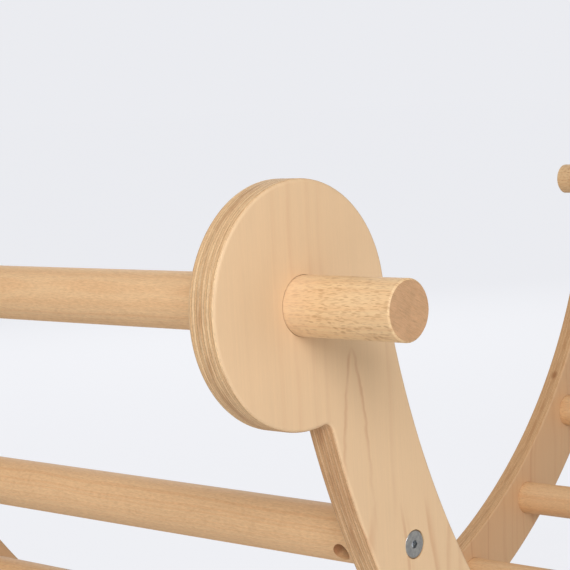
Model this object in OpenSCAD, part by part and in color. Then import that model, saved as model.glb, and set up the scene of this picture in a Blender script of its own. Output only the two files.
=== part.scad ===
// Wooden rocker arch for a playroom.
//
// Two C-shaped plywood side panels stand on their curved bellies and are joined by round
// beech rungs. Each panel ends in two round heads. A longer end rung passes right through the
// heads of both panels and stands out on both sides as a grip, locked in each head by a screw
// that is hidden in the rim. The inner rungs seat in blind pockets, and connector bolts draw
// them tight by turning into barrel nuts that lie across the ends of the rungs.
//
// All sizes are in millimetres. X runs along the arch, Y across it and Z up. The origin is
// on the floor under the middle of the arch, which stands in its rocking position.

/* [Side panels] */
// Thickness of the plywood
panel_t = 17.5; // [14:0.5:26]
// Radius of the curved belly that rocks on the floor
belly_r = 500; // [380:5:700]
// Width of the curved arm of a panel
arm_w = 59; // [50:1:90]
// Diameter of the round heads
head_d = 123; // [100:1:170]
// Angle from the lowest point of the belly up to the middle of a head
head_angle = 81.5; // [65:0.5:90]
// Radius of the hollow corner between a head and the belly
notch_r = 5; // [2:0.5:12]
// Rounding of the panels' edges
panel_edge_r = 2; // [0.5:0.25:4]

/* [Rungs] */
// Clear width between the two panels
inside_w = 430; // [300:5:700]
// Diameter of every rung
rung_d = 30; // [26:1:38]
// Length of an end rung outside each panel
stub_len = 65.5; // [30:0.5:120]
// Number of inner rungs between the two end rungs
inner_rungs = 11; // [4:1:13]
// Angle along the arm from an end rung to the first inner rung
first_gap_angle = 17.7; // [14:0.1:24]
// Bevel on the rims of the rungs
rung_bevel = 0.8; // [0.2:0.1:3]
// Width of the fine groove round an end rung that marks its place in a head
mark_w = 1.5; // [1:0.1:3]
// Depth of that marking groove
mark_depth = 0.4; // [0.2:0.1:1]
// Depth of the blind pockets that hold the inner rungs
pocket_depth = 8; // [4:0.5:9]

/* [Connector bolts] */
// Thread diameter of the bolts
bolt_d = 6; // [4:0.5:7]
// Diameter of the flat bolt heads
bolt_head_d = 15; // [12:0.5:18]
// Thickness of the flat bolt heads
bolt_head_t = 2; // [1:0.25:3]
// Depth of the bolt heads below the face of the panel
bolt_sink = 0.3; // [0.1:0.1:1]
// Length of a bolt that stands out of its barrel nut
bolt_spare = 2.8; // [1:0.2:5]
// Width across the flats of the hex sockets in the bolts
bolt_socket_w = 4; // [2:0.5:5]
// Depth of the hex sockets in the bolts
bolt_socket_depth = 3; // [1:0.5:5]

/* [Barrel nuts] */
// Diameter of the barrel nuts
nut_d = 10; // [9:0.5:13]
// Length of the barrel nuts
nut_len = 16; // [12:1:20]
// Distance from the end of a rung to the axis of its barrel nut
nut_inset = 30; // [20:1:40]
// Width of the screwdriver slot in a barrel nut
nut_slot_w = 1.6; // [1:0.2:2.4]
// Depth of the screwdriver slot in a barrel nut
nut_slot_depth = 1.8; // [1:0.2:2.4]

/* [Locking screws] */
// Shank diameter of the locking screws
lock_d = 4; // [3:0.5:5]
// Diameter of the countersunk heads of the locking screws
lock_head_d = 8; // [7:0.5:10]
// Depth of a locking screw's head below the rim of the panel
lock_sink = 6; // [1:0.5:12]
// Depth that a locking screw bites into its end rung
lock_bite = 9.5; // [5:0.5:12]
// Tilt of the locking screws up from the line between head and arch centre
lock_angle = 40; // [0:5:80]
// Width across the flats of the hex sockets in the locking screws
lock_socket_w = 2.5; // [2:0.25:3]

/* [Fits] */
// Slack on the diameter of the holes and pockets that hold the rungs
rung_fit = 0.4; // [0.1:0.1:1]
// Slack on the diameter of the holes for bolts, nuts and screws
metal_fit = 0.4; // [0.2:0.1:1]
// Free space beyond the tips of the bolts and screws
tip_room = 2; // [0.5:0.5:5]

/* [Hidden] */
$fn = 96;
// Length by which a cutter stands clear of the face that it opens.
over = 1;

inner_r = belly_r - arm_w;
head_r = head_d / 2;
rung_r = rung_d / 2;
// The rim of a head touches the inner edge of the arm, so that one flows into the other.
head_orbit = inner_r + head_r;
rung_orbit = belly_r - arm_w / 2;
// The end of the arm is cut away inside this radius, where the head alone is drilled.
head_core_r = (head_r + rung_r) / 2;

// The hollow corner is an arc that touches the belly and the head. Its centre lies on this
// orbit, at this angle from the lowest point of the belly.
notch_orbit = belly_r + notch_r;
notch_to_head = head_r + notch_r;
notch_angle = head_angle
    - acos((pow(notch_orbit, 2) + pow(head_orbit, 2) - pow(notch_to_head, 2))
        / (2 * notch_orbit * head_orbit));
// The ring behind the hollow corner is wide enough to fill the sharp valley under it.
notch_ring_r = 2 * (notch_r + panel_edge_r);

rung_pitch = 2 * (head_angle - first_gap_angle) / (inner_rungs - 1);
end_rung_len = inside_w + 2 * (panel_t + stub_len);
inner_rung_len = inside_w + 2 * pocket_depth;

// Distances from the middle of the arch along Y.
bolt_seat_y = inside_w / 2 + panel_t - bolt_sink - bolt_head_t;
rung_end_y = inner_rung_len / 2;
nut_y = rung_end_y - nut_inset;
panel_mid_y = inside_w / 2 + panel_t / 2;

bolt_len = bolt_seat_y - nut_y + nut_d / 2 + bolt_spare;
bolt_tip_bevel = bolt_d / 8;
bolt_head_bevel = bolt_head_t / 4;
lock_len = head_r - lock_sink - (rung_r - lock_bite);
lock_cone_h = (lock_head_d - lock_d) / 2;
lock_tip_h = lock_d;

PLYWOOD = [0.90, 0.77, 0.61];
BEECH = [0.86, 0.70, 0.53];
STEEL = [0.74, 0.75, 0.77];
LEFT = -1;
RIGHT = 1;

rung_names = [for (i = [1 : inner_rungs]) str("rung_", i)];

// A point of the arch's side view, at this distance and angle from the arch's centre.
function on_arch(r, angle) = [r * sin(angle), -r * cos(angle)];

// Angle of an inner rung, counted from the left.
function rung_angle(i) = first_gap_angle - head_angle + (i - 1) * rung_pitch;

// Moves its children to an orbit round the arch's centre, with their +Z towards that centre.
module at_orbit(r, angle) {
    translate([0, 0, belly_r])
        rotate([0, -angle, 0])
            translate([0, 0, -r])
                children();
}

// Everything that a panel carries is drawn on the front, and mirrored for the back.
module at_back() {
    mirror([0, 1, 0])
        children();
}

// Mirrors a flat piece that is drawn at the right end to the left end.
module flip(end) {
    mirror([end == LEFT ? 1 : 0, 0, 0])
        children();
}

// Moves its children, drawn along +Z, to the axis of a head, running out through the front.
module at_head_axis(end) {
    at_orbit(head_orbit, end * head_angle)
        rotate([90, 0, 0])
            children();
}

// Section of a board from radius r0 to r1, with either edge rounded.
module board_section(r0, r1, round_in, round_out) {
    e = panel_edge_r;
    in_e = round_in ? e : 0;
    out_e = round_out ? e : 0;
    translate([r0 + in_e, 0])
        square([r1 - r0 - in_e - out_e, panel_t]);
    translate([r0, e])
        square([r1 - r0, panel_t - 2 * e]);
    for (y = [e, panel_t - e]) {
        if (round_in)
            translate([r0 + e, y])
                circle(e);
        if (round_out)
            translate([r1 - e, y])
                circle(e);
    }
}

// The curved arm, lying flat round the arch's centre, from one head to the other.
module flat_arm() {
    rotate([0, 0, -90 - head_angle])
        rotate_extrude(angle = 2 * head_angle)
            board_section(inner_r, belly_r, true, true);
}

// The round head at the right end of the arm.
module flat_head() {
    translate(on_arch(head_orbit, head_angle))
        rotate([0, 0, head_angle + 90])
            rotate_extrude()
                board_section(0, head_r, false, true);
}

// The hollow corner where the head meets the belly, rounded on its edges like them.
module flat_notch() {
    corner = on_arch(notch_orbit, notch_angle);
    to_head = on_arch(head_orbit, head_angle) - corner;
    head_way = atan2(to_head[1], to_head[0]);
    arm_way = notch_angle + 90;
    translate(corner)
        rotate([0, 0, head_way])
            rotate_extrude(angle = arm_way - head_way)
                board_section(notch_r, notch_ring_r, true, false);
}

// Stands up a flat piece of the front panel, with its inner face to the back.
module stand_up() {
    translate([0, -inside_w / 2, belly_r])
        rotate([90, 0, 0])
            children();
}

// Pocket, bolt hole and head recess for one inner rung, along Y in the front panel.
module rung_seat_cuts() {
    rotate([90, 0, 0]) {
        cylinder(d = rung_d + rung_fit, h = rung_end_y);
        cylinder(d = bolt_d + metal_fit, h = bolt_seat_y + over);
        translate([0, 0, bolt_seat_y])
            cylinder(d = bolt_head_d + metal_fit, h = panel_t);
    }
}

// Countersunk hole for a locking screw, from the middle of a head out through its rim.
module lock_hole() {
    head_top = head_r - lock_sink;
    cylinder(d = lock_d + metal_fit, h = head_r);
    translate([0, 0, head_top - lock_cone_h])
        cylinder(d1 = lock_d + metal_fit, d2 = lock_head_d + metal_fit, h = lock_cone_h);
    translate([0, 0, head_top])
        cylinder(d = lock_head_d + metal_fit, h = lock_sink + over);
}

// Moves its children, drawn along +Z, to a locking screw's line at the front of one end.
module at_lock(end) {
    at_orbit(head_orbit, end * head_angle)
        translate([0, -panel_mid_y, 0])
            rotate([0, end * lock_angle, 0])
                children();
}

// The arm with its seats for the inner rungs. It leaves the cores of the heads free.
module panel_arm() {
    difference() {
        stand_up()
            flat_arm();
        for (i = [1 : inner_rungs])
            at_orbit(rung_orbit, rung_angle(i))
                rung_seat_cuts();
        for (end = [LEFT, RIGHT])
            at_head_axis(end)
                cylinder(r = head_core_r, h = inside_w / 2 + panel_t + over);
    }
}

// One head with its bore for the end rung and its hole for the locking screw.
module panel_head(end) {
    difference() {
        stand_up()
            flip(end)
                flat_head();
        at_head_axis(end)
            cylinder(d = rung_d + rung_fit, h = inside_w / 2 + panel_t + over);
        at_lock(end)
            lock_hole();
    }
}

module side_panel() {
    color(PLYWOOD) {
        panel_arm();
        for (end = [LEFT, RIGHT]) {
            panel_head(end);
            stand_up()
                flip(end)
                    flat_notch();
        }
    }
}

// A round rod along Y, with bevelled rims.
module rod(length) {
    half = length / 2;
    rotate([90, 0, 0])
        rotate_extrude()
            polygon([
                [0, -half],
                [rung_r - rung_bevel, -half],
                [rung_r, rung_bevel - half],
                [rung_r, half - rung_bevel],
                [rung_r - rung_bevel, half],
                [0, half]
            ]);
}

// Groove that shows how far an end rung is pushed in. It ends flush with the panel's face.
module marking_groove() {
    rotate([90, 0, 0])
        rotate_extrude()
            translate([rung_r - mark_depth, inside_w / 2 + panel_t - mark_w])
                square([mark_depth + over, mark_w]);
}

// The longer rung through both heads, with a pilot hole for each locking screw.
module end_rung(end) {
    pilot_end = rung_r - lock_bite - tip_room;
    color(BEECH)
        difference() {
            at_orbit(head_orbit, end * head_angle)
                rod(end_rung_len);
            for (m = [0, 1])
                mirror([0, m, 0]) {
                    at_orbit(head_orbit, end * head_angle)
                        marking_groove();
                    at_lock(end)
                        translate([0, 0, pilot_end])
                            cylinder(d = lock_d + metal_fit, h = rung_r - pilot_end + over);
                }
        }
}

// Bolt hole along the front end of a rung, crossed by the blind hole for its barrel nut.
module nut_seat_cuts() {
    hole_end_y = bolt_seat_y - bolt_len - tip_room;
    translate([0, -hole_end_y, 0])
        rotate([90, 0, 0])
            cylinder(d = bolt_d + metal_fit, h = rung_end_y - hole_end_y + over);
    translate([0, -nut_y, -rung_r - over])
        cylinder(d = nut_d + metal_fit, h = rung_r + over + nut_len / 2);
}

module inner_rung(i) {
    color(BEECH)
        at_orbit(rung_orbit, rung_angle(i))
            difference() {
                rod(inner_rung_len);
                for (m = [0, 1])
                    mirror([0, m, 0])
                        nut_seat_cuts();
            }
}

// A bolt with a flat head, pointing along +Z from the seat under its head.
module connector_bolt() {
    difference() {
        rotate_extrude()
            polygon([
                [0, -bolt_head_t],
                [bolt_head_d / 2 - bolt_head_bevel, -bolt_head_t],
                [bolt_head_d / 2, bolt_head_bevel - bolt_head_t],
                [bolt_head_d / 2, 0],
                [bolt_d / 2, 0],
                [bolt_d / 2, bolt_len - bolt_tip_bevel],
                [bolt_d / 2 - bolt_tip_bevel, bolt_len],
                [0, bolt_len]
            ]);
        translate([0, 0, -bolt_head_t - over])
            cylinder(d = bolt_socket_w / cos(30), h = bolt_socket_depth + over, $fn = 6);
    }
}

module connector_bolts() {
    color(STEEL)
        for (i = [1 : inner_rungs])
            at_orbit(rung_orbit, rung_angle(i))
                translate([0, -bolt_seat_y, 0])
                    rotate([-90, 0, 0])
                        connector_bolt();
}

// A barrel nut along Z, slotted at the open end of its hole and tapped along Y.
module barrel_nut() {
    difference() {
        cylinder(d = nut_d, h = nut_len, center = true);
        rotate([90, 0, 0])
            cylinder(d = bolt_d + metal_fit / 2, h = nut_d + over, center = true);
        translate([0, 0, nut_slot_depth / 2 - nut_len / 2 - over / 2])
            cube([nut_slot_w, nut_d + over, nut_slot_depth + over], center = true);
    }
}

module barrel_nuts() {
    color(STEEL)
        for (i = [1 : inner_rungs])
            at_orbit(rung_orbit, rung_angle(i))
                translate([0, -nut_y, 0])
                    barrel_nut();
}

// A countersunk screw with its head's top at the origin, pointing along -Z.
module locking_screw() {
    difference() {
        rotate_extrude()
            polygon([
                [0, 0],
                [0, -lock_len],
                [lock_d / 2, lock_tip_h - lock_len],
                [lock_d / 2, -lock_cone_h],
                [lock_head_d / 2, 0]
            ]);
        translate([0, 0, -lock_cone_h])
            cylinder(d = lock_socket_w / cos(30), h = lock_cone_h + over, $fn = 6);
    }
}

module locking_screws() {
    color(STEEL)
        for (end = [LEFT, RIGHT])
            at_lock(end)
                translate([0, 0, head_r - lock_sink])
                    locking_screw();
}

side_panel();  // side_panel_front
at_back() side_panel();  // side_panel_back
end_rung(LEFT);  // end_rung_left
end_rung(RIGHT);  // end_rung_right
for (i = [1 : inner_rungs])
    inner_rung(i);
connector_bolts();  // connector_bolts_front
at_back() connector_bolts();  // connector_bolts_back
barrel_nuts();  // barrel_nuts_front
at_back() barrel_nuts();  // barrel_nuts_back
locking_screws();  // locking_screws_front
at_back() locking_screws();  // locking_screws_back
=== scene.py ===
"""Looks of a wooden rocker arch: plywood side panels, beech rungs and zinc-plated fasteners."""

import math

import bmesh
import bpy
from mathutils import Matrix, Vector


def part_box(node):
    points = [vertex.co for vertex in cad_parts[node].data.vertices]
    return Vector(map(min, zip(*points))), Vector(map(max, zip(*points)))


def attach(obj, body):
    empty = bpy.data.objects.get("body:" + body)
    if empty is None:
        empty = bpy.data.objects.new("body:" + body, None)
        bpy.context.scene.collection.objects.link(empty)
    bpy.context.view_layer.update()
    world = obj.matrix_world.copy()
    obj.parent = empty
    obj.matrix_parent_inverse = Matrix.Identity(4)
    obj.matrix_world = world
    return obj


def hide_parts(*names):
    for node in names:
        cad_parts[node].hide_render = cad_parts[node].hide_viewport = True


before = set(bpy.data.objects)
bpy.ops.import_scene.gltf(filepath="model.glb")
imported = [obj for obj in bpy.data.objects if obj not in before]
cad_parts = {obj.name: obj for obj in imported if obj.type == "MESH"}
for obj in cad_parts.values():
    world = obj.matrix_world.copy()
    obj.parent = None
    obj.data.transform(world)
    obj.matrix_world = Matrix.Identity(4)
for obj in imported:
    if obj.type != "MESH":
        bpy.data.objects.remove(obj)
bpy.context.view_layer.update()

# ---------------------------------------------------------------- sizes, in millimetres

MM = 0.001                                       # a millimetre in Blender's metres
BELLY = 500.0                                    # radius of the belly; its centre is this high too
ARM = 59.0                                       # width of a panel between belly and inner edge
INNER = BELLY - ARM                              # radius of the inner edge
HEAD_RADIUS = 61.5
HEAD_REACH = INNER + HEAD_RADIUS                 # from the arch's centre to a head's centre
HEAD_ANGLE = math.radians(81.5)                  # from the lowest point of the belly up to a head
CORNER = 5.0                                     # radius of the hollow corner between head and belly
EDGE = 2.0                                       # rounding of the edges
PANEL_OUTER = 232.5                              # distance of a panel's outer face from the middle
PANEL_THICK = 17.5
PANEL_INNER = PANEL_OUTER - PANEL_THICK
PLIES = 11
PLY = PANEL_THICK / PLIES
RUNG_HOLE = 15.2                                 # radius of the holes and pockets for the rungs
POCKET = 8.0                                     # depth of the pockets
BOLT_HOLE = 3.2
BOLT_SEAT = 7.7
BOLT_SEAT_DEEP = 2.3
SCREW_TILT = math.radians(40.0)                  # of a locking screw, up from the line to the arch's centre
# Radius and depth below the rim of a locking screw's hole. It opens into the hole of the end rung.
SCREW_HOLE = ((4.2, -1.0), (4.2, 6.0), (2.2, 8.0), (2.2, 48.0))

# ---------------------------------------------------------------- camera

PICTURE = 570                                    # width and height of the picture, in pixels
FOCAL_PX = 1872.44                               # focal length in pixels of that picture
SENSOR_MM = 36.0
CAMERA_AT = (-1.15717, -0.84128, 0.52469)
CAMERA_AZIMUTH = 46.776                          # degrees from +Y towards +X
CAMERA_DOWN = 5.622
CAMERA_ROLL = -3.202
NEAREST = 0.05                                   # limits of what the camera shows, in metres
FURTHEST = 200.0


def make_camera():
    """The photograph's camera: where it stands, where it looks and how it is tilted."""
    azimuth = math.radians(CAMERA_AZIMUTH)
    down = math.radians(CAMERA_DOWN)
    roll = math.radians(CAMERA_ROLL)
    flat = math.cos(down)
    look = Vector((math.sin(azimuth) * flat, math.cos(azimuth) * flat, -math.sin(down)))
    level = Vector((math.cos(azimuth), -math.sin(azimuth), 0.0))
    right = math.cos(roll) * level + math.sin(roll) * level.cross(look)
    up = right.cross(look)
    data = bpy.data.cameras.new("camera")
    data.sensor_width = SENSOR_MM
    data.lens = FOCAL_PX * SENSOR_MM / PICTURE
    data.clip_start = NEAREST
    data.clip_end = FURTHEST
    camera = bpy.data.objects.new("camera", data)
    axes = Matrix((right, up, -look)).transposed().to_4x4()
    camera.matrix_world = Matrix.Translation(CAMERA_AT) @ axes
    bpy.context.scene.collection.objects.link(camera)
    bpy.context.scene.camera = camera


# ---------------------------------------------------------------- node helpers

def srgb(red, green, blue):
    """A colour given as it looks on a screen, 0 to 255, as the linear colour that nodes use."""
    def linear(level):
        share = level / 255.0
        return share / 12.92 if share <= 0.04045 else ((share + 0.055) / 1.055) ** 2.4
    return (linear(red), linear(green), linear(blue), 1.0)


class Nodes:
    """A tree of shader nodes, with a short call for each kind. A value is a number or a socket."""

    def __init__(self, tree):
        self.tree = tree
        tree.nodes.clear()

    def node(self, kind, **settings):
        made = self.tree.nodes.new(kind)
        for key, value in settings.items():
            setattr(made, key, value)
        return made

    def put(self, socket, value):
        if isinstance(value, bpy.types.NodeSocket):
            self.tree.links.new(value, socket)
        else:
            socket.default_value = value

    def calc(self, operation, *values):
        made = self.node("ShaderNodeMath", operation=operation)
        for socket, value in zip(made.inputs, values):
            self.put(socket, value)
        return made.outputs[0]

    def add(self, a, b):
        return self.calc("ADD", a, b)

    def sub(self, a, b):
        return self.calc("SUBTRACT", a, b)

    def mul(self, a, b):
        return self.calc("MULTIPLY", a, b)

    def least(self, a, b):
        return self.calc("MINIMUM", a, b)

    def most(self, a, b):
        return self.calc("MAXIMUM", a, b)

    def size(self, value):
        return self.calc("ABSOLUTE", value)

    def grow(self, value, factor, offset=0.0):
        return self.calc("MULTIPLY_ADD", value, factor, offset)

    def swing(self, noise, width):
        """Noise moved to swing about 0, and made this wide."""
        return self.mul(self.sub(noise, 0.5), width)

    def band(self, value, low, high, start=0.0, end=1.0):
        """A smooth step from start, where value is low, to end, where it is high."""
        made = self.node("ShaderNodeMapRange", interpolation_type="SMOOTHSTEP")
        for name, entry in zip(("Value", "From Min", "From Max", "To Min", "To Max"),
                               (value, low, high, start, end)):
            self.put(made.inputs[name], entry)
        return made.outputs["Result"]

    def fade(self, value, low, high):
        """A smooth step from 1, where value is low, to 0, where it is high."""
        return self.band(value, low, high, 1.0, 0.0)

    def between(self, value, rise, fall):
        """1 from the end of rise to the start of fall, and 0 outside them, with smooth steps."""
        return self.mul(self.band(value, *rise), self.fade(value, *fall))

    def choose(self, amount, a, b):
        """The number a where amount is 0, b where it is 1, and a mix between."""
        made = self.node("ShaderNodeMix", data_type="FLOAT")
        for slot, entry in zip((0, 2, 3), (amount, a, b)):
            self.put(made.inputs[slot], entry)
        return made.outputs[0]

    def dye(self, amount, a, b):
        """The colour a where amount is 0, b where it is 1, and a mix between."""
        made = self.node("ShaderNodeMix", data_type="RGBA")
        for slot, entry in zip((0, 6, 7), (amount, a, b)):
            self.put(made.inputs[slot], entry)
        return made.outputs[2]

    def shade(self, colour, level):
        """A colour made lighter or darker by a factor about 1."""
        made = self.node("ShaderNodeVectorMath", operation="SCALE")
        self.put(made.inputs[0], colour)
        self.put(made.inputs["Scale"], level)
        return made.outputs[0]

    def steps(self, value, stops, style="LINEAR"):
        """A scale of grey levels: stops are (place, level)."""
        made = self.node("ShaderNodeValToRGB")
        ramp = made.color_ramp
        ramp.interpolation = style
        while len(ramp.elements) < len(stops):
            ramp.elements.new(1.0)
        for element, (place, level) in zip(ramp.elements, stops):
            element.position = place
            element.color = (level, level, level, 1.0)
        self.put(made.inputs[0], value)
        return made.outputs["Color"]

    def vector(self, x, y, z):
        made = self.node("ShaderNodeCombineXYZ")
        for socket, value in zip(made.inputs, (x, y, z)):
            self.put(socket, value)
        return made.outputs[0]

    def parts(self, vector):
        made = self.node("ShaderNodeSeparateXYZ")
        self.put(made.inputs[0], vector)
        return tuple(made.outputs)

    def length(self, x, y, z):
        """A point's distance from the origin."""
        made = self.node("ShaderNodeVectorMath", operation="LENGTH")
        self.put(made.inputs[0], self.vector(x, y, z))
        return made.outputs["Value"]


class Finish(Nodes):
    """One material of the part, with the patterns that it is made from.

    A pattern is read at a place of three values in millimetres. Its rate says how often it changes in
    a millimetre along each of them, and slide moves it along the second.
    """

    def __init__(self, name):
        self.material = bpy.data.materials.new(name)
        self.material.use_nodes = True
        super().__init__(self.material.node_tree)
        self.shader = self.node("ShaderNodeBsdfPrincipled")
        output = self.node("ShaderNodeOutputMaterial")
        self.put(output.inputs["Surface"], self.shader.outputs[0])

    def place(self):
        """The point's x, y and z in the shared frame, in millimetres."""
        scaled = self.node("ShaderNodeVectorMath", operation="SCALE")
        self.put(scaled.inputs[0], self.node("ShaderNodeTexCoord").outputs["Object"])
        scaled.inputs["Scale"].default_value = 1 / MM
        return self.parts(scaled.outputs[0])

    def facing(self):
        """The size of each part of the surface's normal."""
        normal = self.node("ShaderNodeTexCoord").outputs["Normal"]
        return [self.size(part) for part in self.parts(normal)]

    def spread(self, place, rate, slide):
        x, y, z = [self.mul(part, share) for part, share in zip(place, rate)]
        return self.vector(x, self.add(y, slide), z)

    def noise(self, place, rate, slide=0.0, detail=2.0, rough=0.5):
        """Smooth random values about 0.5."""
        made = self.node("ShaderNodeTexNoise", noise_dimensions="3D")
        self.put(made.inputs["Vector"], self.spread(place, rate, slide))
        for name, value in (("Scale", 1.0), ("Detail", detail), ("Roughness", rough)):
            made.inputs[name].default_value = value
        return made.outputs["Fac"]

    def noise_along(self, value):
        """Smooth random values about 0.5, which follow one value only."""
        made = self.node("ShaderNodeTexNoise", noise_dimensions="1D")
        self.put(made.inputs["W"], value)
        for name, value in (("Scale", 1.0), ("Detail", 2.0), ("Roughness", 0.5)):
            made.inputs[name].default_value = value
        return made.outputs["Fac"]

    def cells(self, place, rate):
        """Distance to the nearest scattered point, and a random value for that point."""
        made = self.node("ShaderNodeTexVoronoi", voronoi_dimensions="3D", feature="F1")
        self.put(made.inputs["Vector"], self.spread(place, rate, 0.0))
        made.inputs["Scale"].default_value = 1.0
        return made.outputs["Distance"], self.parts(made.outputs["Color"])[0]

    def ticks(self, value):
        """How far a value is past the nearest of scattered marks, and a random value for that mark."""
        made = self.node("ShaderNodeTexVoronoi", voronoi_dimensions="1D", feature="F1")
        self.put(made.inputs["W"], value)
        made.inputs["Scale"].default_value = 1.0
        return self.sub(value, made.outputs["W"]), self.parts(made.outputs["Color"])[0]

    def relief(self, height, depth, strength):
        """Bump, with height 0 to 1 standing for depth millimetres."""
        made = self.node("ShaderNodeBump")
        made.inputs["Strength"].default_value = strength
        made.inputs["Distance"].default_value = depth * MM
        self.put(made.inputs["Height"], height)
        self.put(self.shader.inputs["Normal"], made.outputs[0])

    def coat(self, colour, roughness, shine=0.5, metallic=0.0):
        """Gives the shader its values. Shine and metallic are numbers, the same all over."""
        self.put(self.shader.inputs["Base Color"], colour)
        self.put(self.shader.inputs["Roughness"], roughness)
        self.shader.inputs["Specular IOR Level"].default_value = shine
        self.shader.inputs["Metallic"].default_value = metallic


# ---------------------------------------------------------------- plywood

FACE = srgb(243, 210, 172)
FIGURE = srgb(190, 118, 70)
LONG_PLY = srgb(249, 218, 176)
END_PLY = srgb(235, 196, 151)
GLUE = srgb(136, 84, 50)
# brown of the real stains, also used for the painted shade below the heads
STAIN_AND_SHADE_BROWN = srgb(178, 118, 74)
BACK_TINGE = srgb(196, 134, 78)                  # the back panel is a little browner
WOOD_SHINE = 0.4                                 # specular level of both woods
# Lightness of each ply of the rim, from the outer face to the inner face.
PLY_TONES = (1.0, 0.98, 1.0, 0.97, 1.0, 0.96, 0.9, 0.94, 1.02, 1.0, 1.02)
PLY_WAVER = 0.7                                  # how far the plies stray from flat, mm
PLY_SHIFT = 37.3                                 # sets the patterns of the plies apart
FACE_PLY = (1.5, 1.6)                            # depth at which a face's own ply ends, mm
FIRST_GLUE = (0.8, 1.2)                          # glue lines show from this depth below a face, mm
GLUE_LINE = (0.03, 0.13)                         # half width of a glue line, in plies
STAINED_PLIES = ((7.0, 8.2), (10.6, 12.0))       # depth at which the stained plies start and end, mm
SHADED_RIM = (BELLY - 3.0, BELLY - 1.8)           # painted shade below the heads: distance from the arch's centre, mm
SHADED_HEIGHT = ((240.0, 335.0), (364.0, 374.0))  # height at which the painted shade on the rim starts and ends, mm

# How strongly each mark shows.
FIGURE_SHOWS = 0.42
STAINS_SHOW = 0.46
# painted shade: how dark the rim is painted below the heads
SHADE_BELOW_HEADS_SHOWS = 0.42
KNOT_SHOWS = 0.7
GLUE_SHOWS = 0.75
# painted shade: how dark the painted shadow left of the stub is
STUB_SHADOW_SHOWS = 0.085
# The same on the rim and on the faces.
FIBRES_SHOW = (0.34, 0.09)
PORES_SHOW = (0.95, 0.06)
TINGE_SHOWS = (0.32, 0.17)

HEAD = (-496.98, 425.73)                         # x and z of the front left head's centre, mm
HEAD_ENDS_X = (-415.0, -395.0)                   # where that head's own grain ends
HEAD_ENDS_Z = (300.0, 320.0)
# Grain lines of that head: distance from its centre, mm, and darkness.
HEAD_LINES = ((-41.0, 0.1), (-19.0, 0.25), (-7.5, 0.4), (5.8, 0.35), (14.0, 0.3), (60.0, 0.34))
HEAD_SPAN = 70.0                                 # the lines lie within this of the centre, mm
HEAD_BEND = 7.0                                  # how far they bend to and fro, mm
LINE_SIDES = (1.6, 3.4)                          # width of a line left and right of its darkest place, mm
FLAME_TIP = (HEAD[0] + 33.0, HEAD[1] - 25.0)     # tip of the flame in that head's grain
FLAME_WIDTH = 1.68                               # how fast the flame widens below its tip, mm
FLAME_WANDER = 5.0                               # how far its sides stray to and fro, mm
FLAME_LINE = ((-1.1, 0.2), (0.2, 3.2))           # rise and fall of the line along the flame, mm
FLAME_STARTS = (-3.0, 6.0)                       # below its tip, mm
FLAME_PALES = (30.0, 80.0, 1.0, 0.45)            # from and to, mm below its tip, and how far
BOARD_LINE = ((-0.13, 0.0), (0.0, 0.3))          # rise and fall of other grain lines, in their spacing
BOARD_SPACING = 8.5                              # of those lines, mm
BOARD_LEAN = 0.62                                # how fast the board's rings rise towards +X
BOARD_HILLS = 46.0                               # height of the hills in them, mm
BOARD_RIPPLES = 3.0
STUB_SHADOW_AT = (HEAD[0] - 29.0, HEAD[1] + 1.0)      # painted shade: the stub's shadow, a darker spot on the face left of the stub, mm
STUB_SHADOW_REACH = 36.0
KNOT = (356.3, 223.5, 240.2)                     # on the rim of the back panel's right arm, mm
KNOT_EDGE = (1.05, 4.5)                          # where it starts to fade and ends, mm


def line_stops(lines, span):
    """Stops of a grey scale that is 0, with a soft peak at each line."""
    before, after = LINE_SIDES
    stops = [(0.0, 0.0)]
    for place, level in lines:
        for spot, grey in ((place - before, 0.0), (place, level), (place + after, 0.0)):
            stops.append(((spot + span) / (2.0 * span), grey))
    return stops


def head_figure(n, place):
    """The grain lines of the front left head, with the flame below and right of the stub."""
    x, _, z = place
    bend = n.noise(place, (1 / 40, 0.0, 1 / 70), detail=1.0)
    across = n.add(n.sub(x, HEAD[0]), n.swing(bend, HEAD_BEND))
    ruled = n.steps(n.grow(across, 0.5 / HEAD_SPAN, 0.5), line_stops(HEAD_LINES, HEAD_SPAN))
    wander = n.noise(place, (1 / 15, 0.0, 1 / 12), slide=3.0)
    off = n.add(n.sub(x, FLAME_TIP[0]), n.swing(wander, FLAME_WANDER))
    squared = n.mul(off, off)
    below = n.sub(FLAME_TIP[1], z)
    curve = n.sub(below, n.mul(squared, 1 / FLAME_WIDTH))
    slope = n.calc("SQRT", n.grow(squared, 4.0 / FLAME_WIDTH ** 2, 1.0))
    line = n.between(n.calc("DIVIDE", curve, slope), *FLAME_LINE)
    flame = n.mul(line, n.band(below, *FLAME_STARTS))
    flame = n.mul(flame, n.band(below, *FLAME_PALES))
    worn = n.noise(place, (1 / 9, 0.0, 1 / 30), slide=8.0)
    return n.mul(n.most(ruled, flame), n.band(worn, 0.3, 0.6, 0.35, 1.0))


def board_figure(n, place):
    """Upright grain lines at uneven spacing, which bend and here and there close to a flame."""
    hill = n.noise(place, (1 / 60, 0.11, 1 / 210), detail=1.5)
    ripple = n.noise(place, (1 / 14, 0.11, 1 / 60), detail=1.0)
    height = n.add(n.mul(place[0], BOARD_LEAN), n.mul(hill, BOARD_HILLS))
    height = n.add(height, n.mul(ripple, BOARD_RIPPLES))
    offset, level = n.ticks(n.mul(height, 1 / BOARD_SPACING))
    return n.mul(n.between(offset, *BOARD_LINE), n.grow(level, 0.75, 0.1))


def face_figure(n, place):
    """Grain lines of the faces: the head's own on the front left head, and the board's elsewhere."""
    x, y, z = place
    near_head = n.mul(n.fade(x, *HEAD_ENDS_X), n.band(z, *HEAD_ENDS_Z))
    front = n.fade(y, -PANEL_INNER - 1.0, -PANEL_INNER + 1.0)
    return n.choose(n.mul(near_head, front), board_figure(n, place), head_figure(n, place))


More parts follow.
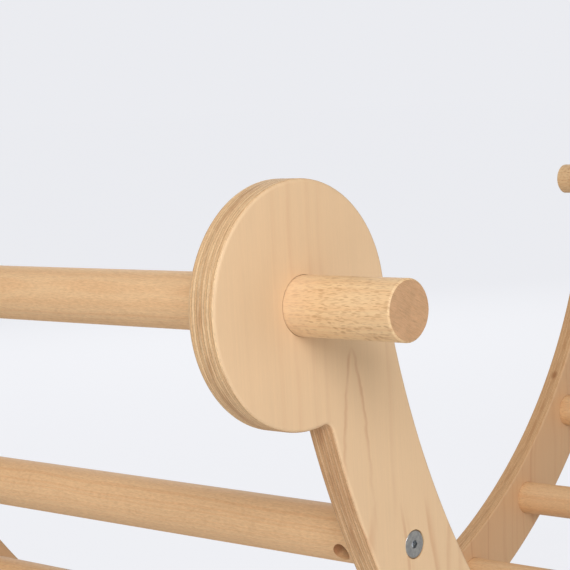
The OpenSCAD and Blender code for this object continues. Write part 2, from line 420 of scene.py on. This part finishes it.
def painted_stub_shadow(n, place):
    """Painted shade: a soft dark spot on the front left head's outer face, left of the stub, where the stub
    shades the face.
    """
    x, y, z = place
    off = n.length(n.sub(x, STUB_SHADOW_AT[0]), 0.0, n.sub(z, STUB_SHADOW_AT[1]))
    return n.mul(n.fade(off, 0.0, STUB_SHADOW_REACH), n.fade(y, -PANEL_OUTER, -PANEL_OUTER + 1.0))


def knot_mark(n, place):
    """A small upright brown knot."""
    x, y, z = [n.sub(part, middle) for part, middle in zip(place, KNOT)]
    return n.fade(n.length(x, y, n.mul(z, 0.5)), *KNOT_EDGE)


def rim_stains(n, place, under):
    """Brown lines along the rim, broken here and there, and brown patches on the middle plies."""
    long_line = n.noise(place, (0.07, 1.9, 0.07), rough=0.6)
    short_line = n.noise(place, (0.35, 2.6, 0.35), slide=9.0, rough=0.6)
    lines = n.most(n.band(long_line, 0.5, 0.68), n.mul(n.band(short_line, 0.52, 0.7), 0.8))
    stain = n.noise(place, (0.06, 0.45, 0.06), slide=4.0, detail=3.0, rough=0.65)
    return n.most(lines, n.mul(n.band(stain, 0.4, 0.62), n.between(under, *STAINED_PLIES)))


def painted_shade_below_heads(n, place):
    """Painted shade: a darker, browner rim on the belly side below the heads, in the hollow corner under
    each head.
    """
    x, _, z = place
    rim_only = n.band(n.length(x, 0.0, n.sub(z, BELLY)), *SHADED_RIM)
    uneven = n.band(n.noise(place, (0.05, 0.6, 0.05)), 0.25, 0.6, 0.6, 1.0)
    return n.mul(n.mul(rim_only, n.between(z, *SHADED_HEIGHT)), uneven)


def rim_colour(n, place, under, depth, cut_across):
    """The crossed plies, each in its own tone, with stains, and painted shade below the heads."""
    # A scale holds levels up to 1, so the tones go through it at half their size.
    halves = [(k / PLIES, tone / 2) for k, tone in enumerate(PLY_TONES)]
    tone = n.mul(n.steps(n.mul(depth, 1 / PANEL_THICK), halves, "CONSTANT"), 2.0)
    rim = n.shade(n.dye(cut_across, LONG_PLY, END_PLY), tone)
    rim = n.dye(n.mul(rim_stains(n, place, under), STAINS_SHOW), rim, STAIN_AND_SHADE_BROWN)
    # painted shade below the heads, in the stains' brown
    return n.dye(n.mul(painted_shade_below_heads(n, place), SHADE_BELOW_HEADS_SHOWS), rim, STAIN_AND_SHADE_BROWN)


def glue_lines(n, place, count):
    """Thin dark lines between the plies, fainter here and there."""
    seam = n.size(n.sub(n.calc("FRACT", n.add(count, 0.5)), 0.5))
    patchy = n.band(n.noise(place, (0.08, 1.4, 0.08)), 0.4, 0.65)
    return n.mul(n.fade(seam, *GLUE_LINE), n.grow(patchy, 0.55, 0.3))


def plywood():
    """Birch plywood: veneered faces with upright grain, and a rim of crossed plies."""
    n = Finish("birch_plywood_clear_coat")
    place = x, y, z = n.place()
    face_x, face_y, face_z = n.facing()
    on_face = n.band(face_y, 0.55, 0.95)
    on_rim = n.sub(1.0, on_face)
    under = n.sub(PANEL_OUTER, n.size(y))
    nearest = n.least(under, n.sub(PANEL_THICK, under))
    face_ply = n.fade(nearest, *FACE_PLY)
    depth = n.add(under, n.swing(n.noise(place, (0.02, 0.02, 0.02), detail=3.0), PLY_WAVER))
    count = n.mul(depth, 1 / PLY)
    ply = n.least(n.most(n.calc("FLOOR", count), 0.0), PLIES - 1.0)
    crossed = n.calc("MODULO", ply, 2.0)
    cut_across = n.mul(n.calc("POWER", n.choose(crossed, face_z, face_x), 1.5), on_rim)

    wood = (n.choose(crossed, x, z), y, n.choose(crossed, z, x))
    shift = n.mul(ply, PLY_SHIFT)
    fibre = n.noise(wood, (0.9, 0.9, 0.02), shift, detail=4.0, rough=0.6)
    pores = n.noise(wood, (4.5, 4.5, 0.22), shift)
    patch = n.noise(wood, (0.04, 0.01, 0.009), shift)
    figure = n.mul(face_figure(n, place), n.mul(face_ply, n.grow(patch, 0.8, 0.3)))
    glue = n.mul(glue_lines(n, place, count), on_rim)

    colour = rim_colour(n, place, under, depth, cut_across)
    colour = n.dye(n.mul(face_ply, n.band(face_y, 0.4, 0.8)), colour, FACE)
    colour = n.dye(n.mul(figure, FIGURE_SHOWS), colour, FIGURE)
    colour = n.dye(n.mul(knot_mark(n, place), KNOT_SHOWS), colour, GLUE)
    colour = n.dye(n.mul(glue, n.mul(n.band(nearest, *FIRST_GLUE), GLUE_SHOWS)), colour, GLUE)

    # the painted shadow left of the stub darkens the face here
    light = n.grow(painted_stub_shadow(n, place), -STUB_SHADOW_SHOWS, 1.0)
    light = n.add(light, n.swing(fibre, n.choose(on_face, *FIBRES_SHOW)))
    light = n.add(light, n.swing(pores, n.choose(on_face, *PORES_SHOW)))
    light = n.add(light, n.swing(patch, 0.07))
    colour = n.shade(colour, light)
    behind = n.band(y, 0.0, 1.0)
    colour = n.dye(n.mul(behind, n.choose(on_face, *TINGE_SHOWS)), colour, BACK_TINGE)

    roughness = n.add(n.grow(fibre, 0.14, 0.42), n.mul(cut_across, 0.12))
    n.coat(colour, roughness, shine=WOOD_SHINE)
    n.relief(n.add(n.mul(pores, 0.6), n.sub(fibre, n.mul(glue, 0.8))), 0.05, 0.6)
    return n.material


# ---------------------------------------------------------------- beech

BEECH_SIDE = srgb(249, 216, 172)
BEECH_FLECK = srgb(166, 106, 50)
BEECH_END = srgb(214, 172, 134)
BEECH_RING = srgb(238, 192, 144)
BEECH_WARM = srgb(224, 156, 108)
STUB_PAINTED_PALE = srgb(246, 217, 184)                 # painted light: stubs made paler next to a panel, against the orange light the panel bounces onto them
BETWEEN_PANELS = (195.0, 228.0)                  # how far from the middle that part of a rod ends, mm
PAINTED_PALE_LENGTH = 24.0                               # of the stub's painted paler part, mm
LOG_STEP = 41.0                                  # sets the rods apart in their log, mm
SWAY_SIDE = 4.0                                  # how far the grain strays sideways along a rod, mm
SWAY_OUT = 5.0
RIPPLE = 1.6                                     # how far the rays stray from straight, mm
RINGS_PER_MM = 0.55
RING_BEND = 0.006                                # half of 1 over the radius of the year rings in mm

# How strongly each mark shows on the stubs and between the panels.
RAYS_SHOW = (0.47, 0.14)
HAIR_SHOWS = (0.14, 0.5)
RAYS_SHOW_ON_ENDS = 0.2
WARMER_BETWEEN = 0.2

# Direction of the bark in degrees, a seed and a little extra warmth, for each rod.
RODS = {
    "end_rung_left": (152.0, 1, 0.0),
    "end_rung_right": (40.0, 2, 0.04),
    "rung_1": (75.0, 3, 0.02),
    "rung_2": (210.0, 4, 0.0),
    "rung_3": (120.0, 5, 0.05),
    "rung_4": (300.0, 6, 0.02),
    "rung_5": (20.0, 7, 0.0),
    "rung_6": (165.0, 8, 0.03),
    "rung_7": (95.0, 9, 0.01),
    "rung_8": (250.0, 10, 0.05),
    "rung_9": (190.0, 11, 0.02),
    "rung_10": (330.0, 12, 0.0),
    "rung_11": (60.0, 13, 0.04),
}


def axis_of(node):
    """The x and z of a rod's axis, in millimetres."""
    low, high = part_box(node)
    return [0.5 / MM * (low[k] + high[k]) for k in (0, 2)]


def log_place(n, x, y, z, bark_deg, seed):
    """Where a point of a rod lay in its log: sideways, along, and out towards the bark."""
    turn = math.radians(bark_deg)
    out = n.add(n.mul(x, math.cos(turn)), n.mul(z, math.sin(turn)))
    side = n.sub(n.mul(z, math.cos(turn)), n.mul(x, math.sin(turn)))
    out = n.add(out, seed * LOG_STEP)
    sway = n.noise((side, y, out), (0.05, 0.012, 0.05))
    return n.add(side, n.swing(sway, SWAY_SIDE)), y, n.add(out, n.swing(sway, SWAY_OUT))


def ray_flecks(n, wood, wavy):
    """Beech's brown rays: many small flecks, dashes, and a few larger blotches."""
    small, pick = n.cells(wavy, (1 / 0.7, 1 / 4.6, 1 / 6.0))
    fleck = n.mul(n.fade(small, 0.2, 0.5), n.grow(pick, 0.9, 0.1))
    large, chance = n.cells(wood, (1 / 2.6, 1 / 9.0, 1 / 14.0))
    blotch = n.mul(n.fade(large, 0.1, 0.3), n.band(chance, 0.45, 0.75))
    dash = n.band(n.noise(wavy, (1.35, 0.19, 0.5), detail=1.5), 0.52, 0.66)
    return n.most(n.most(fleck, n.mul(dash, 0.55)), n.mul(blotch, 0.9))


def sawn_end(n, wood):
    """Streaks and soft patches of a sawn end."""
    streaks = n.noise(wood, (3.0, 0.0, 0.1), rough=0.6)
    patches = n.noise(wood, (0.35, 0.0, 0.2), slide=5.0)
    return n.add(n.swing(streaks, 0.62), n.swing(patches, 0.3))


def beech(name, centre_x, centre_z, bark_deg, seed, warmth):
    """A turned beech rod. bark_deg is the direction, seen along the rod, in which the tree's bark lay."""
    n = Finish(name)
    x, y, z = n.place()
    ends = n.band(n.facing()[1], 0.75, 0.95)
    wood = log_place(n, n.sub(x, centre_x), y, n.sub(z, centre_z), bark_deg, seed)
    side, y, out = wood
    ripple = n.noise(wood, (0.25, 0.11, 0.25), detail=1.0)
    wavy = (n.add(side, n.swing(ripple, RIPPLE)), y, out)
    rays = ray_flecks(n, wood, wavy)
    ring_place = n.add(out, n.mul(n.mul(side, side), RING_BEND))
    rings = n.noise_along(n.mul(ring_place, RINGS_PER_MM))
    grain = n.noise(wood, (1.6, 0.035, 1.6), detail=4.0, rough=0.65)
    hair = n.noise(wavy, (2.0, 0.26, 2.0), rough=0.6)
    tint = n.noise(wood, (0.06, 0.006, 0.06))

    from_middle = n.size(y)
    inner = n.fade(from_middle, *BETWEEN_PANELS)
    outside = n.band(from_middle, PANEL_OUTER - 1.0, PANEL_OUTER)
    painted_pale_near_panel = n.band(from_middle, PANEL_OUTER, PANEL_OUTER + PAINTED_PALE_LENGTH, 0.5, 0.0)
    colour = n.dye(n.mul(n.band(rings, 0.35, 0.75), 0.45), BEECH_SIDE, BEECH_RING)
    colour = n.dye(ends, colour, BEECH_END)
    marked = n.choose(ends, n.choose(inner, *RAYS_SHOW), RAYS_SHOW_ON_ENDS)
    colour = n.dye(n.mul(rays, marked), colour, BEECH_FLECK)
    light = n.add(n.grow(grain, 0.2, 0.9), n.swing(tint, 0.16))
    light = n.add(light, n.swing(hair, n.choose(inner, *HAIR_SHOWS)))
    light = n.add(light, n.mul(ends, sawn_end(n, wood)))
    colour = n.shade(colour, light)
    # painted light: the stub is paler next to the panel, to undo the orange light the panel bounces onto it
    colour = n.dye(n.mul(outside, painted_pale_near_panel), colour, STUB_PAINTED_PALE)
    colour = n.dye(n.add(warmth, n.mul(inner, WARMER_BETWEEN)), colour, BEECH_WARM)

    roughness = n.add(n.grow(grain, 0.16, 0.4), n.mul(ends, 0.15))
    n.coat(colour, roughness, shine=WOOD_SHINE)
    n.relief(n.sub(grain, n.mul(rays, 0.7)), 0.06, 0.6)
    return n.material


# ---------------------------------------------------------------- zinc-plated steel

ZINC_DARK = srgb(176, 180, 186)
ZINC_LIGHT = srgb(200, 203, 206)


def steel():
    """Zinc-plated steel: bluish grey, clouded, with a fine speckle in its gloss."""
    n = Finish("zinc_plated_steel")
    place = n.place()
    cloud = n.noise(place, (0.6, 0.6, 0.6), detail=3.0)
    speck = n.noise(place, (5.0, 5.0, 5.0))
    colour = n.dye(n.band(cloud, 0.3, 0.7), ZINC_DARK, ZINC_LIGHT)
    n.coat(colour, n.grow(speck, 0.2, 0.22), metallic=1.0)
    n.relief(n.add(speck, cloud), 0.01, 0.5)
    return n.material


# ---------------------------------------------------------------- side panels

ARCH_CENTRE = Vector((0.0, BELLY))               # x and z
DOWN = -math.pi / 2
EDGE_STEPS = 6                                   # faces across a rounded edge
RIM_STEP = 1.0                                   # degrees of an arc to a face
CORNER_STEP = 9.0
HEAD_STEP = 3.0
HOLE_SIDES = 72
SCREW_HOLE_SIDES = 40
SHARP_FROM = math.radians(30.0)                  # an edge that turns more than this stays sharp
FACE_WEIGHT = 100                                # the large flat faces decide the shading beside them
# Radius and depth below the outer face of the holes for the end rungs, and of those for the inner rungs:
# a seat for the bolt's head, its bore and the rung's pocket.
END_RUNG_HOLE = ((RUNG_HOLE, 0.0), (RUNG_HOLE, PANEL_THICK))
INNER_RUNG_HOLE = ((BOLT_SEAT, 0.0), (BOLT_SEAT, BOLT_SEAT_DEEP), (BOLT_HOLE, BOLT_SEAT_DEEP),
                   (BOLT_HOLE, PANEL_THICK - POCKET), (RUNG_HOLE, PANEL_THICK - POCKET),
                   (RUNG_HOLE, PANEL_THICK))


def way(angle):
    return Vector((math.cos(angle), math.sin(angle)))


def angle_of(vector):
    return math.atan2(vector.y, vector.x)


def head_centre(side):
    """The middle of the left head (-1) or the right one (1)."""
    return ARCH_CENTRE + HEAD_REACH * way(DOWN + side * HEAD_ANGLE)


def arc(centre, radius, start, end, step_deg, hollow=False):
    """Points of an arc with the normal that points out of the wood."""
    count = max(2, math.ceil(abs(math.degrees(end - start)) / step_deg))
    side = -1.0 if hollow else 1.0
    made = []
    for k in range(count):
        out = way(start + (end - start) * k / count)
        made.append((centre + radius * out, side * out))
    return made


def half_outline():
    """The right half of the panel's edge: belly, hollow corner, head and inner edge."""
    head = head_centre(1)
    orbit = BELLY + CORNER
    gap = HEAD_RADIUS + CORNER
    spread = (orbit ** 2 + HEAD_REACH ** 2 - gap ** 2) / (2 * orbit * HEAD_REACH)
    turn = HEAD_ANGLE - math.acos(spread)
    corner = ARCH_CENTRE + orbit * way(DOWN + turn)
    to_belly = angle_of(ARCH_CENTRE - corner)
    to_head = angle_of(head - corner)
    to_inner = angle_of(ARCH_CENTRE - head)
    made = arc(ARCH_CENTRE, BELLY, DOWN, DOWN + turn, RIM_STEP)
    made += arc(corner, CORNER, to_belly, to_head, CORNER_STEP, hollow=True)
    made += arc(head, HEAD_RADIUS, to_head - math.pi, to_inner, HEAD_STEP)
    made += arc(ARCH_CENTRE, INNER, DOWN + HEAD_ANGLE, DOWN, RIM_STEP, hollow=True)
    made.append((Vector((0.0, BELLY - INNER)), Vector((0.0, 1.0))))
    return made


def panel_outline():
    right = half_outline()
    mirrored = [(Vector((-p.x, p.y)), Vector((-n.x, n.y))) for p, n in right[1:-1]]
    return right + mirrored[::-1]


def ring(mesh, points):
    return [mesh.verts.new(point) for point in points]


def skin(mesh, rings):
    """Faces between neighbouring closed rings of as many points. Gives the first and last ring."""
    for first, second in zip(rings, rings[1:]):
        for k in range(len(first)):
            after = (k + 1) % len(first)
            mesh.faces.new((first[k], first[after], second[after], second[k]))
    return rings[0], rings[-1]


def ring_edges(mesh, points):
    return [mesh.edges.get((points[k - 1], points[k])) for k in range(len(points))]


def add_rim(mesh, depth_to_y):
    """The rim with its two rounded edges."""
    outline = panel_outline()
    turns = [math.pi / 2 * k / EDGE_STEPS for k in range(EDGE_STEPS + 1)]
    profile = [(EDGE * (1 - math.sin(a)), EDGE * (1 - math.cos(a))) for a in turns]
    profile += [(inset, PANEL_THICK - depth) for inset, depth in profile[::-1]]
    rings = []
    for inset, depth in profile:
        y = depth_to_y(depth)
        rings.append(ring(mesh, [(p.x - inset * n.x, y, p.y - inset * n.y) for p, n in outline]))
    return skin(mesh, rings)


def add_hole(mesh, centre, profile, depth_to_y):
    """A stepped round hole. The profile is (radius, depth) from the outer to the inner face."""
    rings = []
    for radius, depth in profile:
        y = depth_to_y(depth)
        turns = [2 * math.pi * k / HOLE_SIDES for k in range(HOLE_SIDES)]
        spots = [centre + radius * way(turn) for turn in turns]
        rings.append(ring(mesh, [(spot.x, y, spot.y) for spot in spots]))
    return skin(mesh, rings)


def panel_mesh(depth_to_y):
    """The rim and the rungs' holes, closed by the two faces."""
    mesh = bmesh.new()
    loops = [add_rim(mesh, depth_to_y)]
    for rod in RODS:
        profile = END_RUNG_HOLE if rod.startswith("end_rung") else INNER_RUNG_HOLE
        loops.append(add_hole(mesh, Vector(axis_of(rod)), profile, depth_to_y))
    for layer in (0, 1):
        border = [edge for loop in loops for edge in ring_edges(mesh, loop[layer])]
        bmesh.ops.triangle_fill(mesh, use_beauty=True, use_dissolve=False, edges=border)
    bmesh.ops.recalc_face_normals(mesh, faces=mesh.faces)
    return mesh


def screw_cutter(side):
    """The hole of the locking screw in one head, as a closed mesh."""
    mesh = bmesh.new()
    head = head_centre(side)
    along = way(angle_of(ARCH_CENTRE - head) - side * SCREW_TILT)
    across = Vector((-along.y, along.x))
    rings = []
    for radius, depth in SCREW_HOLE:
        middle = head + (HEAD_RADIUS - depth) * along
        spots = []
        for k in range(SCREW_HOLE_SIDES):
            turn = way(2 * math.pi * k / SCREW_HOLE_SIDES)
            spot = middle + radius * turn.x * across
            spots.append((spot.x, radius * turn.y, spot.y))
        rings.append(ring(mesh, spots))
    for end in skin(mesh, rings):
        mesh.faces.new(end)
    bmesh.ops.recalc_face_normals(mesh, faces=mesh.faces)
    return mesh


def to_object(mesh, name):
    """A Blender object, in metres, made from a mesh in millimetres."""
    bmesh.ops.scale(mesh, vec=(MM, MM, MM), verts=mesh.verts)
    data = bpy.data.meshes.new(name)
    mesh.to_mesh(data)
    mesh.free()
    made = bpy.data.objects.new(name, data)
    bpy.context.scene.collection.objects.link(made)
    return made


def cut_away(panel, tool):
    """Takes the tool's shape out of the panel, and deletes the tool."""
    cut = panel.modifiers.new("locking_screw", "BOOLEAN")
    cut.operation = "DIFFERENCE"
    cut.solver = "EXACT"
    cut.object = tool
    graph = bpy.context.evaluated_depsgraph_get()
    whole = bpy.data.meshes.new_from_object(panel.evaluated_get(graph))
    panel.modifiers.clear()
    panel.data = whole
    bpy.data.objects.remove(tool)


def soften(panel):
    """Smooth shading across the rounded edges, with true corners left sharp and flat faces flat."""
    mesh = bmesh.new()
    mesh.from_mesh(panel.data)
    for face in mesh.faces:
        face.smooth = True
    for edge in mesh.edges:
        edge.smooth = edge.is_manifold and edge.calc_face_angle(0.0) < SHARP_FROM
    mesh.to_mesh(panel.data)
    mesh.free()
    weigh = panel.modifiers.new("flat_faces_stay_flat", "WEIGHTED_NORMAL")
    weigh.keep_sharp = True
    weigh.weight = FACE_WEIGHT


def side_panel(name, node, side, material):
    """A panel with rounded edges, pockets, holes and recesses; side is -1 in front and 1 at the back."""
    def depth_to_y(depth):
        return side * (PANEL_OUTER - depth)

    panel = to_object(panel_mesh(depth_to_y), name)
    for end in (-1, 1):
        cutter = screw_cutter(end)
        bmesh.ops.translate(cutter, verts=cutter.verts, vec=(0.0, depth_to_y(PANEL_THICK / 2), 0.0))
        cut_away(panel, to_object(cutter, "screw_cutter"))
    soften(panel)
    panel.data.materials.clear()
    panel.data.materials.append(material)
    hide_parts(node)
    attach(panel, "root")


# ---------------------------------------------------------------- stage, in metres

KEY_AIM = Vector((-0.497, -0.232, 0.426))        # middle of the front left head
KEY_WAY = Vector((-0.60, -0.66, 0.47))           # from that head towards the key light
KEY_FAR = 1.9
KEY_SIZE = 0.95
KEY_WATTS = 19.5
KEY_COLOUR = (1.0, 0.985, 0.96)
FILL_AT = Vector((1.9, 2.3, 1.5))
FILL_AIM = Vector((0.1, 0.1, 0.3))
FILL_SIZE = 1.6
FILL_WATTS = 9.0
FILL_COLOUR = (1.0, 1.0, 1.0)
SKY = 0.49                                       # brightness of the light from all round
SKY_TINT = (1.03, 0.97, 0.88, 1.0)
SKY_LEFT = 0.30                                  # how much brighter than the middle it is towards -X
SKY_LOW = 0.15                                   # how much brighter it is from straight below
FLOOR_GLOW = 0.71                                # what lamps of its own add to the floor that is seen
FLOOR_SEEN = 0.28                                # share of the light that the floor returns to the camera
FLOOR_BOUNCE = 0.80                              # share that it returns to the part
FLOOR_TINT = (0.987, 1.009, 1.076, 1.0)
FAR_SHARE = 0.915                                # of the sky's light that reaches the far floor
FLOOR_HALF = 60.0                                # half the floor's length


def area_light(name, at, aim, size, watts, colour):
    data = bpy.data.lights.new(name, "AREA")
    data.shape = "SQUARE"
    data.size = size
    data.energy = watts
    data.color = colour
    light = bpy.data.objects.new(name, data)
    light.location = at
    light.rotation_euler = (aim - at).to_track_quat("-Z", "Y").to_euler()
    light.visible_camera = False
    bpy.context.scene.collection.objects.link(light)


def make_lights():
    key_at = KEY_AIM + KEY_WAY.normalized() * KEY_FAR
    area_light("key_softbox", key_at, KEY_AIM, KEY_SIZE, KEY_WATTS, KEY_COLOUR)
    area_light("back_fill", FILL_AT, FILL_AIM, FILL_SIZE, FILL_WATTS, FILL_COLOUR)


def make_world():
    """Light from all round, a little stronger from the left and from below.

    The camera sees an even background as bright as the far floor, so no horizon shows.
    """
    world = bpy.data.worlds.new("studio")
    bpy.context.scene.world = world
    world.use_nodes = True
    n = Nodes(world.node_tree)
    across, _, up = n.parts(n.node("ShaderNodeTexCoord").outputs["Generated"])
    sky = n.node("ShaderNodeBackground")
    n.put(sky.inputs["Color"], SKY_TINT)
    n.put(sky.inputs["Strength"], n.grow(across, -SKY_LEFT * SKY, n.grow(up, -SKY_LOW * SKY, SKY)))
    returned = FAR_SHARE * FLOOR_SEEN * SKY
    far = [FLOOR_GLOW * glow + returned * light for glow, light in zip(FLOOR_TINT[:3], SKY_TINT)]
    seen = n.node("ShaderNodeBackground")
    n.put(seen.inputs["Color"], (*far, 1.0))
    pick = n.node("ShaderNodeMixShader")
    n.put(pick.inputs[0], n.node("ShaderNodeLightPath").outputs["Is Camera Ray"])
    n.put(pick.inputs[1], sky.outputs[0])
    n.put(pick.inputs[2], seen.outputs[0])
    n.put(n.node("ShaderNodeOutputWorld").inputs["Surface"], pick.outputs[0])


def floor_material():
    """Matt white. The camera sees it brighter and with paler shadows, as under lamps of its own."""
    material = bpy.data.materials.new("pale_floor")
    material.use_nodes = True
    n = Nodes(material.node_tree)
    to_camera = n.node("ShaderNodeLightPath").outputs["Is Camera Ray"]
    matt = n.node("ShaderNodeBsdfDiffuse")
    n.put(matt.inputs["Color"], n.choose(to_camera, FLOOR_BOUNCE, FLOOR_SEEN))
    glow = n.node("ShaderNodeEmission")
    n.put(glow.inputs["Color"], FLOOR_TINT)
    n.put(glow.inputs["Strength"], n.mul(to_camera, FLOOR_GLOW))
    both = n.node("ShaderNodeAddShader")
    n.put(both.inputs[0], matt.outputs[0])
    n.put(both.inputs[1], glow.outputs[0])
    n.put(n.node("ShaderNodeOutputMaterial").inputs["Surface"], both.outputs[0])
    return material


def make_floor():
    """A large, plain, pale floor."""
    half = FLOOR_HALF
    mesh = bpy.data.meshes.new("floor")
    corners = [(-half, -half, 0.0), (half, -half, 0.0), (half, half, 0.0), (-half, half, 0.0)]
    mesh.from_pydata(corners, [], [(0, 1, 2, 3)])
    floor = bpy.data.objects.new("floor", mesh)
    bpy.context.scene.collection.objects.link(floor)
    mesh.materials.append(floor_material())


# ---------------------------------------------------------------- dressing

def dress(node, material):
    """Puts one material on a node of the CAD model."""
    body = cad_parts[node]
    if not body.material_slots:
        body.data.materials.append(material)
    for slot in body.material_slots:
        slot.link = "OBJECT"
        slot.material = material


def dress_all():
    wood = plywood()
    metal = steel()
    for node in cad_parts:
        if node == "side_panel_front":
            side_panel("front_side_panel", node, -1, wood)
        elif node == "side_panel_back":
            side_panel("back_side_panel", node, 1, wood)
        elif node in RODS:
            dress(node, beech("beech_" + node, *axis_of(node), *RODS[node]))
        else:
            dress(node, metal)


make_camera()
make_world()
make_lights()
make_floor()
dress_all()
bpy.context.scene.view_settings.view_transform = "Standard"
